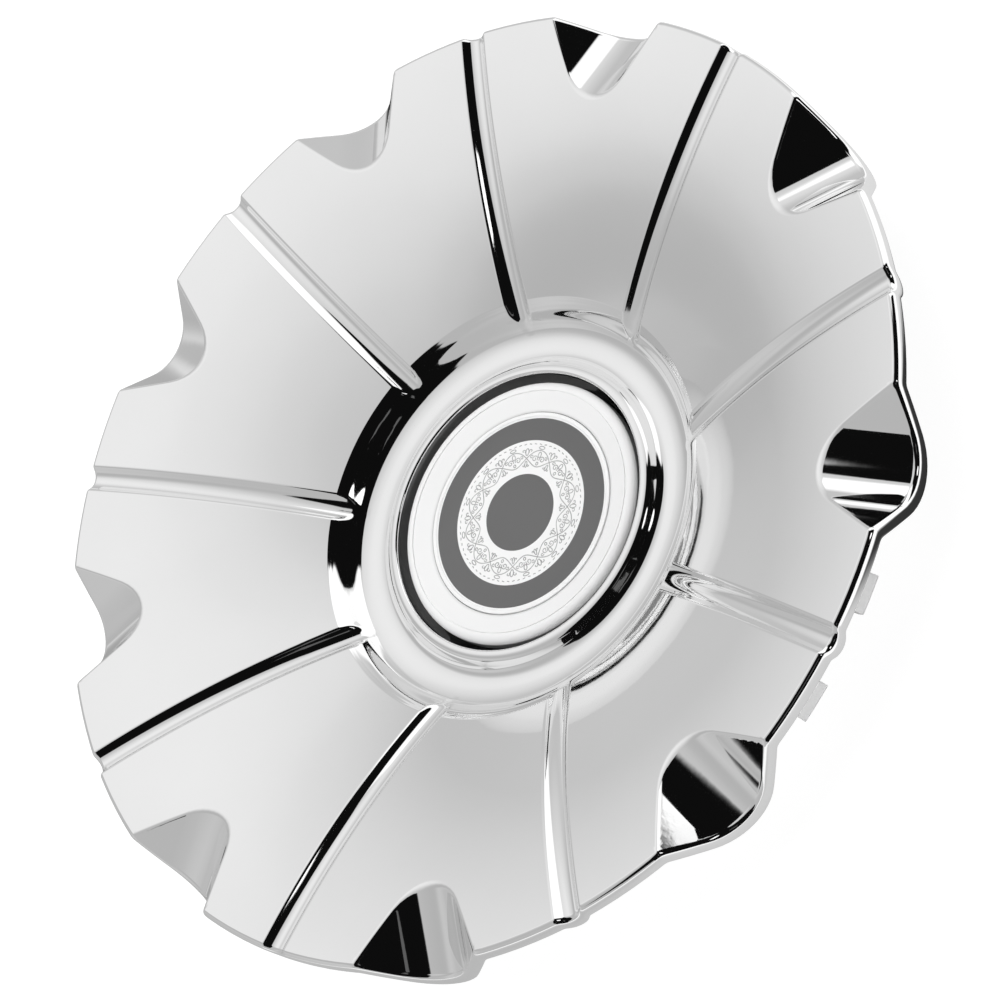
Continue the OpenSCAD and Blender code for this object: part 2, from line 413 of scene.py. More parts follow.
@dataclass
class HalfSector:
    """Half a sector of one side of the moulding, from a groove's middle to a scoop's.

    Circles of vertices lie at the rings' radii near the hub, then evenly spread ones, then
    ones at the near distances from the rim or from a scoop's lip.
    """

    surface: DishSurface
    rim_r: float
    near: tuple[float, ...]
    spread: int
    rings: tuple[float, ...]
    groove_lines: tuple[float, ...] = (0.0, 0.55, 1.1, 1.6, 2.1, 2.6, 3.0, 3.3, 3.6, 4.0, 4.6)
    rim_lines: tuple[float, ...] = (0.13, 0.32, 0.54, 0.74, 0.89, 0.97, 1.0)
    scoop_lines: tuple[float, ...] = (
        0.975, 0.935, 0.88, 0.8, 0.71, 0.62, 0.54, 0.46, 0.37, 0.28, 0.19, 0.095, 0.0)
    columns: list[Column] = field(default_factory=list)

    def __post_init__(self) -> None:
        """Lay out the lines of the mesh."""
        half = math.pi / self.surface.s.sectors
        hub_first = math.asin(self.groove_lines[-1] / self.start_r())
        rest = len(self.rim_lines) + len(self.scoop_lines)
        for offset in self.groove_lines:
            end = (math.sqrt(self.rim_r**2 - offset**2), offset)
            self.columns.append(Column(math.asin(offset / self.start_r()), end, offset))
        corner = self.surface.corner(self.rim_r)
        corner_angle = half - math.asin(corner / self.rim_r)
        first = math.asin(self.groove_lines[-1] / self.rim_r)
        for i, share in enumerate(self.rim_lines):
            angle = first + (corner_angle - first) * share
            hub = hub_first + (half - hub_first) * (i + 1) / rest
            end = (self.rim_r * math.cos(angle), self.rim_r * math.sin(angle))
            across = corner if share == 1.0 else None
            self.columns.append(Column(hub, end, across=across))
        for i, share in enumerate(self.scoop_lines):
            hub = hub_first + (half - hub_first) * (i + 1 + len(self.rim_lines)) / rest
            across = corner * share
            end = self.from_scoop(self.surface.lip(across, self.rim_r), across)
            self.columns.append(Column(hub, end, across=across))

    def start_r(self) -> float:
        """Return the radius of the circle that joins the hub."""
        return self.rings[0]

    def first_scoop(self) -> int:
        """Return the number of the line that ends where a scoop's lip meets the rim."""
        return len(self.groove_lines) + len(self.rim_lines) - 1

    def scoop_rest(self) -> int:
        """Return how many rows a scoop has past its lip."""
        return max(self.spread // 2, 4)

    def from_scoop(self, along: float, across: float) -> Flat:
        """Turn a place of the scoop's frame into the half sector's frame.

        Args:
            along: Distance from the wheel's axis along the scoop's middle.
            across: Distance from the scoop's middle.

        Returns:
            Distance along the groove and across it.
        """
        angle = math.pi / self.surface.s.sectors - math.atan2(across, along)
        reach = math.hypot(along, across)
        return reach * math.cos(angle), reach * math.sin(angle)

    def ring_place(self, column: Column, radius: float) -> Flat:
        """Return where a line crosses a circle near the hub.

        Args:
            column: The line.
            radius: Radius of the circle.

        Returns:
            Distance along the groove and across it.
        """
        if column.offset is not None and radius >= self.start_r():
            return math.sqrt(radius**2 - column.offset**2), column.offset
        return radius * math.cos(column.hub_angle), radius * math.sin(column.hub_angle)

    def field_place(self, column: int, row: int) -> Point:
        """Return the place of a vertex between the hub and the rim or a scoop's lip.

        Args:
            column: Number of its line.
            row: Its number on the line, from the hub.

        Returns:
            The place on the surface.
        """
        line = self.columns[column]
        if row < len(self.rings):
            x, y = self.ring_place(line, self.rings[row])
        else:
            x0, y0 = self.ring_place(line, self.rings[-1])
            reach = math.hypot(line.end[0] - x0, line.end[1] - y0)
            step = row - len(self.rings) + 1
            if step < self.spread:
                share = step / self.spread * (1.0 - self.near[0] / reach)
            else:
                share = 1.0 - self.near[step - self.spread] / reach
            x = x0 + (line.end[0] - x0) * share
            y = y0 + (line.end[1] - y0) * share
        return x, y, self.surface.height(x, y)

    def scoop_place(self, column: int, row: int) -> Point:
        """Return the place of a vertex inside a scoop.

        Args:
            column: Number of its line, from the first that meets a scoop.
            row: Its number on the line, from the lip.

        Returns:
            The place on the surface.
        """
        line = self.columns[column + self.first_scoop()]
        rim = math.sqrt(self.rim_r**2 - line.across**2)
        lip = self.surface.lip(line.across, self.rim_r) if column else rim
        near = self.near[::-1]
        room = 1.6
        scale = min(1.0, (rim - lip) / (room * near[-1]))
        if row < len(near):
            along = lip + near[row] * scale
        else:
            from_near = lip + near[-1] * scale
            along = from_near + (rim - from_near) * (row - len(near) + 1) / self.scoop_rest()
        x, y = self.from_scoop(along, line.across)
        return x, y, self.surface.height(x, y)

    def rim_places(self) -> list[Point]:
        """Return the places of the rim's vertices.

        Returns:
            The places, from the groove to the scoop.
        """
        places = []
        for i, line in enumerate(self.columns):
            if i < self.first_scoop():
                x, y = line.end
            else:
                x, y = self.from_scoop(math.sqrt(self.rim_r**2 - line.across**2), line.across)
            places.append((x, y, self.surface.height(x, y)))
        return places

    def build(self, bm: bmesh.types.BMesh) -> None:
        """Add the half sector's faces to a mesh.

        Args:
            bm: Mesh that gets them.
        """
        rows = len(self.rings) + self.spread - 1 + len(self.near)
        mapped_grid(bm, len(self.columns) - 1, rows - 1, self.field_place)
        rows = len(self.near) + self.scoop_rest()
        mapped_grid(bm, len(self.columns) - 1 - self.first_scoop(), rows - 1, self.scoop_place)


@dataclass(frozen=True)
class Station:
    """One circle of the hub's section, with the surface's normal there as out and up."""

    radius: float
    z: float
    normal: Flat = (0.0, 0.0)


def arc_stations(centre: Vector, radius: float, start: float, stop: float, steps: int,
                 hollow: bool = False) -> list[Station]:
    """Return the circles along an arc of the section.

    Args:
        centre: Centre of the arc, as radius and height.
        radius: Radius of the arc.
        start: Angle of its first point in degrees.
        stop: Angle of its last point in degrees.
        steps: Number of steps between them.
        hollow: Whether the surface faces the arc's centre.

    Returns:
        The circles in order.
    """
    found = []
    for i in range(steps + 1):
        angle = math.radians(start + (stop - start) * i / steps)
        way = (math.cos(angle), math.sin(angle))
        facing = (-way[0], -way[1]) if hollow else way
        found.append(Station(centre[0] + radius * way[0], centre[1] + radius * way[1], facing))
    return found


class Nodes:
    """Short ways to add and join the nodes of one tree."""

    def __init__(self, tree: bpy.types.NodeTree) -> None:
        """Take a node tree and empty it."""
        self.tree = tree
        tree.nodes.clear()

    def add(self, kind: str, **settings: object) -> bpy.types.Node:
        """Add a node and set its properties.

        Args:
            kind: Type of the node.
            **settings: Its properties by name.

        Returns:
            The node.
        """
        node = self.tree.nodes.new(kind)
        for name, value in settings.items():
            setattr(node, name, value)
        return node

    def join(self, source: Input | tuple | Vector, target: bpy.types.NodeSocket) -> None:
        """Set a socket.

        Args:
            source: Number, colour, vector or another socket's output.
            target: Socket that takes it.
        """
        if isinstance(source, bpy.types.NodeSocket):
            self.tree.links.new(source, target)
        else:
            target.default_value = source

    def math(self, operation: str, *values: Input) -> bpy.types.NodeSocket:
        """Work with numbers.

        Args:
            operation: What a Math node does.
            *values: What it does it to.

        Returns:
            The result.
        """
        node = self.add("ShaderNodeMath", operation=operation)
        for value, socket in zip(values, node.inputs):
            self.join(value, socket)
        return node.outputs[0]

    def blend(self, start: Input, stop: Input, share: Input) -> bpy.types.NodeSocket:
        """Return the value that lies between two others by a share of the way."""
        gap = self.math("SUBTRACT", stop, start)
        return self.math("ADD", start, self.math("MULTIPLY", share, gap))

    def step(self, value: Input, low: Input, high: Input, start: Input = 0.0,
             stop: Input = 1.0) -> bpy.types.NodeSocket:
        """Turn a value smoothly from start to stop between two bounds.

        Args:
            value: Value that is read.
            low: Bound where the result is start.
            high: Bound where it is stop.
            start: Result at the low bound and past it.
            stop: Result at the high bound and past it.

        Returns:
            The result.
        """
        node = self.add("ShaderNodeMapRange", interpolation_type="SMOOTHSTEP")
        for number, socket in zip((value, low, high, start, stop), node.inputs):
            self.join(number, socket)
        return node.outputs[0]

    def curve(self, value: Input, low: float, high: float,
              points: tuple[Flat, ...]) -> bpy.types.NodeSocket:
        """Read a value from a smooth curve.

        Args:
            value: Input, from low to high.
            low: Input at the curve's left end.
            high: Input at the curve's right end.
            points: Input and output of each point, the curve's two ends first. The
                outputs are from 0 to 1.

        Returns:
            The output.
        """
        share = self.add("ShaderNodeMapRange")
        for number, socket in zip((value, low, high, 0.0, 1.0), share.inputs):
            self.join(number, socket)
        node = self.add("ShaderNodeFloatCurve")
        line = node.mapping.curves[0]
        ends = len(line.points)
        for i, (at, out) in enumerate(points):
            place = ((at - low) / (high - low), out)
            if i < ends:
                line.points[i].location = place
            else:
                line.points.new(*place)
        node.mapping.update()
        self.join(share.outputs[0], node.inputs["Value"])
        return node.outputs[0]

    def place(self) -> bpy.types.NodeSocket:
        """Return the place on the object, in metres."""
        return self.add("ShaderNodeTexCoord").outputs["Object"]

    def split(self, vector: bpy.types.NodeSocket) -> bpy.types.NodeOutputs:
        """Split a vector.

        Args:
            vector: The vector.

        Returns:
            Its three parts.
        """
        node = self.add("ShaderNodeSeparateXYZ")
        self.join(vector, node.inputs[0])
        return node.outputs

    def turned(self, vector: bpy.types.NodeSocket, angle: float) -> bpy.types.NodeSocket:
        """Turn a vector about the Z axis.

        Args:
            vector: The vector.
            angle: Angle in radians.

        Returns:
            The turned vector.
        """
        node = self.add("ShaderNodeVectorRotate", rotation_type="Z_AXIS")
        self.join(vector, node.inputs["Vector"])
        self.join(angle, node.inputs["Angle"])
        return node.outputs[0]

    def along(self, vector: bpy.types.NodeSocket, way: Vector) -> bpy.types.NodeSocket:
        """Measure a vector along a direction.

        Args:
            vector: The vector.
            way: Unit vector of the direction.

        Returns:
            How far the vector reaches that way.
        """
        node = self.add("ShaderNodeVectorMath", operation="DOT_PRODUCT")
        self.join(vector, node.inputs[0])
        self.join(way, node.inputs[1])
        return node.outputs["Value"]


def new_group(name: str, inputs: dict[str, float], output: str) -> bpy.types.NodeTree:
    """Make a node group with number sockets.

    Args:
        name: Name of the group.
        inputs: Names and values of its inputs.
        output: Name of its output.

    Returns:
        The group, still without nodes.
    """
    tree = bpy.data.node_groups.new(name, "ShaderNodeTree")
    for title, value in inputs.items():
        socket = tree.interface.new_socket(title, in_out="INPUT",
                                           socket_type="NodeSocketFloat")
        socket.default_value = value
    tree.interface.new_socket(output, in_out="OUTPUT", socket_type="NodeSocketFloat")
    return tree


def mottle_group() -> bpy.types.NodeTree:
    """Make the group that varies a value slightly over a surface.

    Returns:
        The group, with the inputs Scale, Low and High and the output Value.
    """
    tree = new_group("fine_mottle", {"Scale": 60.0, "Low": 0.0, "High": 1.0}, "Value")
    n = Nodes(tree)
    given = n.add("NodeGroupInput").outputs
    noise = n.add("ShaderNodeTexNoise")
    n.join(n.place(), noise.inputs["Vector"])
    n.join(given["Scale"], noise.inputs["Scale"])
    n.join(4.0, noise.inputs["Detail"])
    spread = n.add("ShaderNodeMapRange")
    for value, socket in zip((noise.outputs[0], 0.3, 0.7, given["Low"], given["High"]),
                             spread.inputs):
        n.join(value, socket)
    n.join(spread.outputs[0], n.add("NodeGroupOutput").inputs[0])
    return tree


@dataclass(frozen=True)
class SurfaceFinish:
    """A finish whose tone and roughness vary slightly over the surface.

    The scale is that of its mottle, and the wave is the height of its bumps.
    """

    name: str
    tones: Flat
    roughness: Flat
    metallic: float = 0.0
    scale: float = 60.0
    wave: float = 0.0
    tone_stretch: float = 0.4

    def mottle(self, n: Nodes, low: float, high: float, scale: float) -> bpy.types.NodeSocket:
        """Vary a value between two bounds over the surface.

        Args:
            n: Tree that gets the nodes.
            low: Lower bound.
            high: Upper bound.
            scale: Scale of the pattern.

        Returns:
            The value.
        """
        group = n.add("ShaderNodeGroup", node_tree=bpy.data.node_groups["fine_mottle"])
        for name, value in (("Scale", scale), ("Low", low), ("High", high)):
            n.join(value, group.inputs[name])
        return group.outputs[0]

    def tone(self, n: Nodes) -> bpy.types.NodeSocket:
        """Return the surface's tone."""
        return self.mottle(n, *self.tones, self.scale * self.tone_stretch)

    def build(self) -> bpy.types.Material:
        """Make the material.

        Returns:
            The material.
        """
        material = bpy.data.materials.new(self.name)
        material.use_nodes = True
        n = Nodes(material.node_tree)
        shader = n.add("ShaderNodeBsdfPrincipled")
        n.join(self.tone(n), shader.inputs["Base Color"])
        n.join(self.mottle(n, *self.roughness, self.scale), shader.inputs["Roughness"])
        n.join(self.metallic, shader.inputs["Metallic"])
        if self.wave:
            bump = n.add("ShaderNodeBump")
            n.join(self.wave * MM, bump.inputs["Distance"])
            n.join(self.mottle(n, 0.0, 1.0, self.scale), bump.inputs["Height"])
            n.join(bump.outputs[0], shader.inputs["Normal"])
        n.join(shader.outputs[0], n.add("ShaderNodeOutputMaterial").inputs[0])
        return material


@dataclass(frozen=True)
class InsertFinish(SurfaceFinish):
    """Satin white, with painted shade low on its side in the gap to the recess."""

    painted_shade_z: float = 5.5
    painted_shade_blend: float = 0.6
    painted_shade_tone: float = 0.15

    def tone(self, n: Nodes) -> bpy.types.NodeSocket:
        """Darken the tone low on the side, as painted shade in the gap.

        Args:
            n: Tree that gets the nodes.

        Returns:
            The tone.
        """
        # Painted shade: below a height the tone darkens, as in the deep, narrow gap.
        height = n.math("DIVIDE", n.split(n.place())[2], MM)
        shade = n.step(height, self.painted_shade_z, self.painted_shade_z + self.painted_shade_blend,
                       self.painted_shade_tone, 1.0)
        return n.math("MULTIPLY", super().tone(n), shade)


@dataclass(frozen=True)
class BadgeFinish(SurfaceFinish):
    """White print with a grey disc and a grey ring."""

    grey: float = 0.122
    disc_r: float = 10.45
    ring: Flat = (19.7, 25.8)
    soft: float = 0.03

    def inside(self, n: Nodes, radius: Input, edge: float) -> bpy.types.NodeSocket:
        """Return 1 inside a circle and 0 outside it."""
        return n.step(radius, edge + self.soft, edge - self.soft)

    def tone(self, n: Nodes) -> bpy.types.NodeSocket:
        """Print the disc and the ring.

        Args:
            n: Tree that gets the nodes.

        Returns:
            The tone.
        """
        place = n.split(n.place())
        squares = [n.math("POWER", place[i], 2.0) for i in (0, 1)]
        radius = n.math("DIVIDE", n.math("SQRT", n.math("ADD", *squares)), MM)
        hole = n.step(radius, self.ring[0] - self.soft, self.ring[0] + self.soft)
        ring = n.math("MULTIPLY", hole, self.inside(n, radius, self.ring[1]))
        ink = n.math("MAXIMUM", self.inside(n, radius, self.disc_r), ring)
        return n.blend(super().tone(n), self.grey, ink)


def dress_piece(piece: bpy.types.Object, coats: list[SurfaceFinish], finish: Finish,
                node: str) -> bpy.types.Object:
    """Put materials on a piece and tie it to the frame.

    Args:
        piece: Finished object.
        coats: Its finishes, in the order of its faces' material numbers.
        finish: Slot of the record; not used.
        node: Node that it stands for.

    Returns:
        The same object.
    """
    for coat in coats:
        piece.data.materials.append(coat.build())
    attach(piece, "root")
    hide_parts(node)
    return piece


@dataclass
class ChromeMoulding:
    """The one-piece chrome moulding: dish, grooves, scoops, hub ring, rim and tabs.

    Angles that end in _deg are measured in the section, from outwards to upwards. A tab's
    edges up to tab_short stay sharp.
    """

    sizes: MouldingSizes = field(default_factory=MouldingSizes)
    rim_round: float = 1.5
    rim_lean: float = math.radians(22.0)
    rim_swell: float = 4.0
    rim_foot_r: float = 0.35
    rim_foot_mid: float = 0.1
    rim_inner_r: float = 0.3
    tab_grooves: tuple[int, ...] = (1, 4, 7)
    tab_angle: float = 6.1
    tab_w: float = 9.4
    tab_t: float = 2.0
    tab_in: float = 1.1
    tab_root: float = 1.5
    tab_end: float = 9.0
    hook_out: float = 0.9
    hook_z: tuple[float, ...] = (2.2, 1.6, 0.8)
    tab_taper: float = 0.4
    tab_edge_r: float = 0.25
    tab_steps: int = 6
    tab_short: float = 1.0
    foot_stop_deg: float = 265.0
    front_stop_deg: float = 292.0
    back_start_deg: float = 228.0
    back_stop_deg: float = 294.0
    hub_mid_r: float = 20.0
    hub_back: tuple[Flat, ...] = ((0.0, 0.0), (30.0, 0.0), (39.9, 0.0), (40.3, 0.4),
                                  (40.3, 3.3))
    front_rings: tuple[float, ...] = (
        50.2, 50.6, 50.9, 51.15, 51.4, 51.65, 51.9, 52.2, 52.5, 52.8, 53.1, 53.4, 53.7,
        54.0, 54.3, 54.6, 54.9, 55.15, 55.35, 55.55, 55.75, 55.95, 56.15, 56.4, 56.7,
        57.1, 57.7, 58.6, 60.0)
    front_near: tuple[float, ...] = (6.5, 4.6, 3.2, 2.2, 1.5, 1.0, 0.6, 0.3, 0.0)
    front_spread: int = 13
    back_rings: tuple[float, ...] = (52.4, 53.4, 54.6, 55.8, 57.2, 59.0)
    back_near: tuple[float, ...] = (3.0, 1.2, 0.0)
    back_spread: int = 9

    def __post_init__(self) -> None:
        """Set up the face, the back and the lines of both meshes."""
        self.front = DishSurface(self.sizes)
        self.back = DishSurface(self.sizes, self.sizes.wall)
        self.front_half = HalfSector(
            self.front, self.sizes.cap_r - self.rim_width(),
            self.front_near, self.front_spread, self.front_rings)
        self.back_half = HalfSector(
            self.back, self.sizes.cap_r - self.sizes.edge_t,
            self.back_near, self.back_spread, self.back_rings)

    def front_stations(self) -> list[Station]:
        """Return the hub's section.

        Returns:
            Its circles, from its middle to where the half sector starts.
        """
        s = self.sizes
        flat = [Station(r, s.wall) for r in (0.0, self.hub_mid_r, s.recess_r)]
        inner = Vector((s.recess_r + s.crest_in_r, s.crest_h - s.crest_in_r))
        rise = arc_stations(inner, s.crest_in_r, 180.0, 90.0, 5)
        lean = math.degrees(s.flank_slope)
        crest = arc_stations(Vector(s.crest_c), s.crest_edge_r, 90.0, 90.0 - lean, 8)
        foot = arc_stations(self.front.foot_c, s.foot_r, 270.0 - lean, self.foot_stop_deg, 8,
                            True)
        mid = (self.front.flank_a + self.front.flank_b) / 2.0
        run = [Station(mid.x, mid.y, crest[-1].normal)]
        channel = arc_stations(self.front.channel_c, self.front.channel_arc_r,
                               self.foot_stop_deg, self.front_stop_deg, 6, True)[1:]
        last = Station(self.front_half.start_r(), 0.0)
        return flat + rise + crest + run + foot + channel + [last]

    def back_stations(self) -> list[Station]:
        """Return the section of the hub's back.

        Returns:
            Its circles, from its middle to where the half sector starts.
        """
        flat = [Station(r, z) for r, z in self.hub_back]
        wall = self.sizes.wall
        foot = arc_stations(self.front.foot_c, self.sizes.foot_r + wall,
                            self.back_start_deg, self.foot_stop_deg, 4)
        channel = arc_stations(self.front.channel_c, self.front.channel_arc_r + wall,
                               self.foot_stop_deg, self.back_stop_deg, 3)[1:]
        return flat + foot + channel + [Station(self.back_half.start_r(), 0.0)]

    def add_hub(self, bm: bmesh.types.BMesh, half: HalfSector,
                stations: list[Station]) -> None:
        """Add the hub's part of one side, its last circle at the half sector's height.

        Args:
            bm: Mesh that gets the faces.
            half: Half sector that they join.
            stations: Circles of the hub's section.
        """
        def place(column: int, row: int) -> Point:
            """Place a vertex of the hub.

            Args:
                column: Number of its line.
                row: Number of its circle.

            Returns:
                The place, on the last circle at the half sector's height.
            """
            angle = half.columns[column].hub_angle
            at = stations[row]
            x, y = at.radius * math.cos(angle), at.radius * math.sin(angle)
            if row == len(stations) - 1:
                return x, y, half.surface.height(x, y)
            return x, y, at.z

        mapped_grid(bm, len(half.columns) - 1, len(stations) - 1, place)

    def rim_width(self) -> float:
        """Return how far the rim's rounded edge reaches in from the cap's outside."""
        return (self.rim_round * math.cos(self.rim_lean)
                + self.rim_swell * (1.0 - math.cos(self.rim_lean)))

    def rim_rings(self) -> list[Flat]:
        """Return the rim's section.

        Returns:
            Its points, as radius and height over the rim's front edge.
        """
        s = self.sizes
        start = s.cap_r - self.rim_width()
        rings = []
        round_steps, swell_steps = 7, 5
        for i in range(round_steps + 1):
            angle = (math.pi / 2.0 - self.rim_lean) * i / round_steps
            rings.append((start + self.rim_round * math.sin(angle),
                          -self.rim_round * (1.0 - math.cos(angle))))
        low = rings[-1][1] - self.rim_swell * math.sin(self.rim_lean)
        for i in range(1, swell_steps + 1):
            angle = self.rim_lean * (1.0 - i / swell_steps)
            rings.append((s.cap_r - self.rim_swell * (1.0 - math.cos(angle)),
                          low + self.rim_swell * math.sin(angle)))
        inner = s.cap_r - s.edge_t
        foot, mid = self.rim_foot_r, self.rim_foot_mid
        return rings + [(s.cap_r, (low - s.edge_h + foot) / 2.0), (s.cap_r, foot - s.edge_h),
                        (s.cap_r - mid, mid - s.edge_h), (s.cap_r - foot, -s.edge_h),
                        (inner + self.rim_inner_r, -s.edge_h),
                        (inner, self.rim_inner_r - s.edge_h)]

    def add_rim(self, bm: bmesh.types.BMesh) -> None:
        """Add the edge strip, from the face's rim to the back's.

        Args:
            bm: Mesh that gets the faces.
        """
        outer = self.front_half.rim_places()
        inner = self.back_half.rim_places()
        rings = self.rim_rings()

        def place(column: int, row: int) -> Point:
            """Place a vertex of the edge strip.

            Args:
                column: Number of its line, from the groove to the scoop.
                row: Number of its ring, from the face to the back.

            Returns:
                The place, on the last ring that of the back's rim.
            """
            if row == len(rings):
                return inner[column]
            x, y, z = outer[column]
            share = row / len(rings)
            angle = (math.atan2(y, x) * (1.0 - share)
                     + math.atan2(inner[column][1], inner[column][0]) * share)
            radius, drop = rings[row]
            return radius * math.cos(angle), radius * math.sin(angle), z + drop

        mapped_grid(bm, len(outer) - 1, len(rings), place)

    def tab_section(self) -> list[Flat]:
        """Return the outline of a snap tab, with its hook.

        Returns:
            Its points, as radius and height.
        """
        out = self.sizes.cap_r - self.tab_in
        back = out - self.tab_t
        hook = out + self.hook_out
        top = self.sizes.cap_h - self.sizes.edge_h + self.tab_root
        low = self.sizes.cap_h - self.tab_end
        neck, start, stop = (low + z for z in self.hook_z)
        return [(back, top), (out, top), (out, neck), (hook, start), (hook, stop),
                (out - self.tab_taper, low), (back, low)]

    def add_tabs(self, bm: bmesh.types.BMesh) -> None:
        """Add the snap tabs behind the rim, in pairs about every third groove.

        Args:
            bm: Mesh that gets the faces, with the second material.
        """
        span = self.tab_w / self.sizes.cap_r
        pitch = math.tau / self.sizes.sectors
        shell = set(bm.faces)
        for groove in self.tab_grooves:
            for side in (-1.0, 1.0):
                middle = -groove * pitch + side * math.radians(self.tab_angle)
                spin = Matrix.Rotation(middle - span / 2.0, 4, "Z")
                face = bm.faces.new([bm.verts.new(spin @ Vector((x, 0.0, z)))
                                     for x, z in self.tab_section()])
                turned = bmesh.ops.spin(bm, geom=[face], cent=(0, 0, 0), axis=(0, 0, 1),
                                        angle=span, steps=self.tab_steps)
                ends = [face] + [f for f in turned["geom_last"]
                                 if isinstance(f, bmesh.types.BMFace)]
                edges = [e for f in ends for e in f.edges
                         if e.calc_length() > self.tab_short]
                bmesh.ops.bevel(bm, geom=edges, offset=self.tab_edge_r, offset_type="OFFSET",
                                affect="EDGES", segments=2, profile=0.5, material=-1)
        for face in set(bm.faces) - shell:
            face.material_index = 1

    def build(self) -> bpy.types.Object:
        """Build the moulding's mesh.

        Returns:
            The object, with the true normals of the face on its vertices.
        """
        bm = bmesh.new()
        for half, stations in ((self.front_half, self.front_stations()),
                               (self.back_half, self.back_stations())):
            half.build(bm)
            self.add_hub(bm, half, stations)
        self.add_rim(bm)
        bmesh.ops.remove_doubles(bm, verts=bm.verts[:], dist=MERGE_DIST)
        bmesh.ops.mirror(bm, geom=bm.verts[:] + bm.edges[:] + bm.faces[:],
                         matrix=Matrix.Identity(4), merge_dist=MERGE_DIST, axis="Y")
        sector = bm.verts[:] + bm.edges[:] + bm.faces[:]
        for i in range(1, self.sizes.sectors):
            copy = bmesh.ops.duplicate(bm, geom=sector)["geom"]
            verts = [v for v in copy if isinstance(v, bmesh.types.BMVert)]
            turn = Matrix.Rotation(i * math.tau / self.sizes.sectors, 3, "Z")
            bmesh.ops.rotate(bm, verts=verts, cent=(0, 0, 0), matrix=turn)
        bmesh.ops.remove_doubles(bm, verts=bm.verts[:], dist=1.5 * MERGE_DIST)
        self.add_tabs(bm)
        piece = finish_mesh(bm, "chrome_moulding")
        self.set_normals(piece.data)
        return piece

    def set_normals(self, mesh: bpy.types.Mesh) -> None:
        """Give the face's vertices the true normals of the surface.

        Args:
            mesh: Finished mesh, in metres.
        """
        known = {(round(s.radius, 2), round(s.z, 2)): s.normal
                 for s in self.front_stations() if s.normal != (0.0, 0.0)}
        hub_r = self.front_half.start_r() - 0.1
        rim_r = self.front_half.rim_r + 0.01
        close = 0.02
        normals = []
        for vert in mesh.vertices:
            x, y, z = vert.co / MM
            radius = math.hypot(x, y)
            found = Vector((0.0, 0.0, 0.0))
            if hub_r < radius <= rim_r:
                if abs(z - self.front.height(x, y)) < close:
                    found = self.front.normal(x, y)
            elif radius < hub_r:
                key = (round(radius, 2), round(z, 2))
                if key in known:
                    out, up = known[key]
                    found = Vector((out * x / radius, out * y / radius, up))
            normals.append(found)
        mesh.normals_split_custom_set_from_vertices(normals)

    def dress(self) -> bpy.types.Object:
        """Build the moulding with its chrome plate and the tabs' bare plastic.

        Returns:
            The finished piece.
        """
        chrome = SurfaceFinish("chrome_plate", (0.915, 0.935), (0.03, 0.045), metallic=1.0,
                               scale=90.0, wave=0.007)
        bare = SurfaceFinish("bare_plastic", (0.88, 0.92), (0.42, 0.52))
        return dress_piece(self.build(), [chrome, bare], Finish.CHROME, "cap_shell")


def revolve(profile: list[Flat], name: str) -> bpy.types.Object:
    """Turn a section into a closed round piece.

    Args:
        profile: Radius and height of each point, from the axis and back to it.
        name: Name of the object.

    Returns:
        The object.
    """
    bm = bmesh.new()
    verts = [bm.verts.new((r, 0.0, z)) for r, z in profile]
    edges = [bm.edges.new(pair) for pair in zip(verts, verts[1:])]
    bmesh.ops.spin(bm, geom=verts + edges, cent=(0, 0, 0), axis=(0, 0, 1),
                   angle=math.tau, steps=TURN_STEPS, use_merge=True)
    return finish_mesh(bm, name)


def rounded(centre: Flat, radius: float, start: float, stop: float, steps: int) -> list[Flat]:
    """Return points along an arc of a section, between two angles in degrees."""
    return [(s.radius, s.z) for s in arc_stations(Vector(centre), radius, start, stop, steps)]


@dataclass
class SatinInsert:
    """The round insert that closes the hub's recess.

    The groove's points are distances from its middle and below the top.
    """

    radius: float = 35.6
    top: float = 7.5
    edge_r: float = 2.0
    seat_r: float = 27.55
    seat_z: float = 4.6
    ring_z: float = 5.9
    ring_round: float = 0.15
    ring_start: float = 0.2
    ring_stop: float = 0.8
    ring_low: float = 0.12
    ring_steps: int = 9
    groove_in: float = 0.7
    groove: tuple[Flat, ...] = ((-0.15, 0.16), (-0.1, 0.4), (0.1, 0.4), (0.15, 0.08),
                                (0.4, 0.02))
    floor_z: float = 2.8
    floor_edge: float = 0.2
    spigot_r: float = 20.0
    spigot_z: float = 1.6

    def build(self) -> bpy.types.Object:
        """Build the insert: seat, satin ring and rounded edge.

        Returns:
            The object.
        """
        top_r = self.radius - self.edge_r
        lip = self.ring_round
        profile = [(0.0, self.seat_z), (self.seat_r, self.seat_z)]
        profile += rounded((self.seat_r + lip, self.ring_z - lip), lip, 180.0, 105.0, 3)
        start, stop = self.seat_r + self.ring_start, top_r - self.ring_stop
        rise = self.top - self.ring_low - self.ring_z
        for i in range(1, self.ring_steps):
            share = i / self.ring_steps
            profile.append((start + (stop - start) * share, self.ring_z + rise * share))
        line = top_r - self.groove_in
        profile += [(line + out, self.top - drop) for out, drop in self.groove]
        profile += rounded((top_r, self.top - self.edge_r), self.edge_r, 90.0, 0.0, 12)
        profile += [(self.radius, self.floor_z + self.floor_edge),
                    (self.radius - self.floor_edge, self.floor_z),
                    (self.spigot_r, self.floor_z), (self.spigot_r, self.spigot_z),
                    (0.0, self.spigot_z)]
        return revolve(profile, "insert_body")

    def dress(self) -> bpy.types.Object:
        """Build the insert in satin white."""
        satin = InsertFinish("satin_white", (0.85, 0.87), (0.3, 0.38))
        return dress_piece(self.build(), [satin], Finish.SATIN, "centre_insert")


